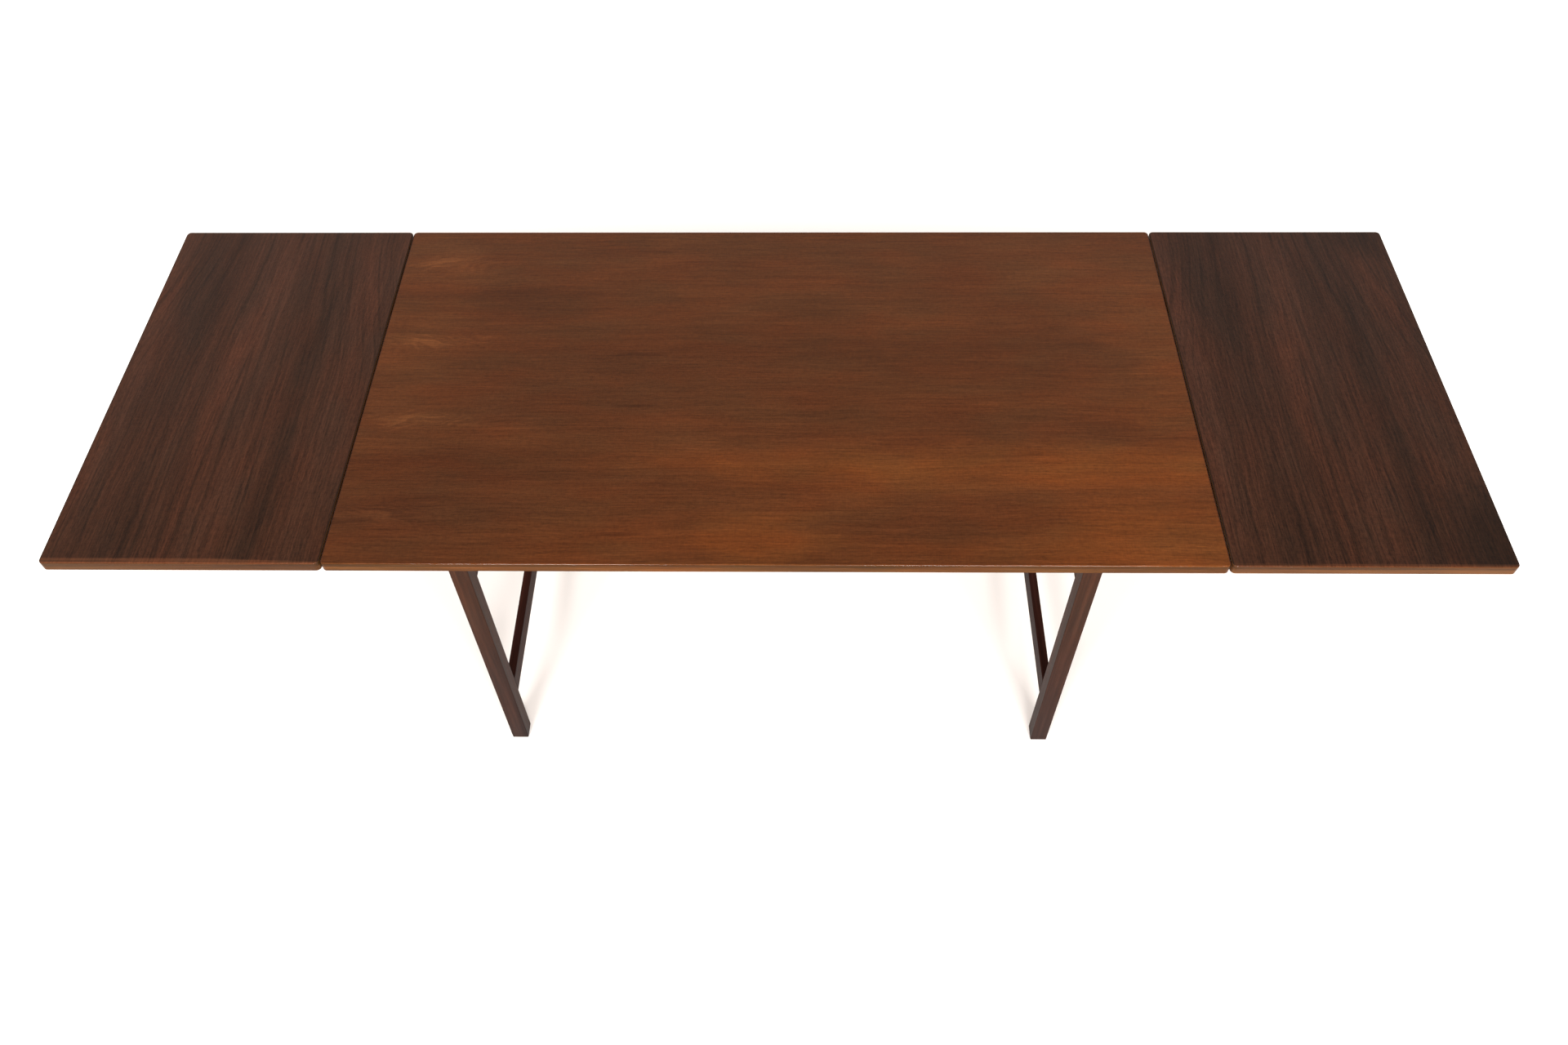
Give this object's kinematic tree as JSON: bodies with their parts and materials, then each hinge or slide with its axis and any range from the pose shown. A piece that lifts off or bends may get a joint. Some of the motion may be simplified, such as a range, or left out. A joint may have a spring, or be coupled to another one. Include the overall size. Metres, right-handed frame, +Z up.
{
  "type": "extending dining table",
  "caption": "Rectangular wooden dining table on square legs, with end leaves whose arms slide in tracks under the main top to lengthen it.",
  "frame": {"origin": "on the floor under the middle of the table, with both leaves closed against the main top", "axes": "+X along the table to the right leaf, +Y across it to the back, +Z up; millimetres in the source and metres in the row"},
  "size_m": [2.6, 0.89, 0.73],
  "materials": {
    "main_face_veneer": "satin",
    "leaf_face_veneer": "satin",
    "backing_veneer": "matt",
    "board_core": "matt",
    "lipping_wood": "satin",
    "base_wood": "satin",
    "guide_wood": "matt",
    "screw_steel": "satin"
  },
  "bodies": {
    "table": {"centre_batten": "guide_wood", "corner_block_back_left": "guide_wood", "corner_block_back_right": "guide_wood", "corner_block_front_left": "guide_wood", "corner_block_front_right": "guide_wood", "end_rail_left": "base_wood", "end_rail_right": "base_wood", "leg_back_left": "base_wood", "leg_back_right": "base_wood", "leg_front_left": "base_wood", "leg_front_right": "base_wood", "long_rail_back": "base_wood", "long_rail_front": "base_wood", "main_top_backing_veneer": "backing_veneer", "main_top_core": "board_core", "main_top_face_veneer": "main_face_veneer", "main_top_lipping_back": "lipping_wood", "main_top_lipping_front": "lipping_wood", "main_top_lipping_left": "lipping_wood", "main_top_lipping_right": "lipping_wood", "stretcher_left": "base_wood", "stretcher_right": "base_wood", "top_buttons": "guide_wood", "track_back_left_far": "guide_wood", "track_back_left_near": "guide_wood", "track_back_right_far": "guide_wood", "track_back_right_near": "guide_wood", "track_front_left_far": "guide_wood", "track_front_left_near": "guide_wood", "track_front_right_far": "guide_wood", "track_front_right_near": "guide_wood"},
    "left_leaf": {"left_leaf_arm_back": "guide_wood", "left_leaf_arm_front": "guide_wood", "left_leaf_backing_veneer": "backing_veneer", "left_leaf_core": "board_core", "left_leaf_face_veneer": "leaf_face_veneer", "left_leaf_lipping_back": "lipping_wood", "left_leaf_lipping_front": "lipping_wood", "left_leaf_lipping_inner": "lipping_wood", "left_leaf_lipping_outer": "lipping_wood", "left_leaf_pegs": "guide_wood", "left_leaf_stop_pegs": "guide_wood"},
    "right_leaf": {"right_leaf_arm_back": "guide_wood", "right_leaf_arm_front": "guide_wood", "right_leaf_backing_veneer": "backing_veneer", "right_leaf_core": "board_core", "right_leaf_face_veneer": "leaf_face_veneer", "right_leaf_lipping_back": "lipping_wood", "right_leaf_lipping_front": "lipping_wood", "right_leaf_lipping_inner": "lipping_wood", "right_leaf_lipping_outer": "lipping_wood", "right_leaf_pegs": "guide_wood", "right_leaf_stop_pegs": "guide_wood"}
  },
  "joints": [
    {"name": "left_leaf_slide", "type": "slide", "parent": "table", "child": "left_leaf", "axis": [-1, 0, 0], "range_m": [0, 0.3]},
    {"name": "right_leaf_slide", "type": "slide", "parent": "table", "child": "right_leaf", "axis": [1, 0, 0], "range_m": [0, 0.3]}
  ]
}
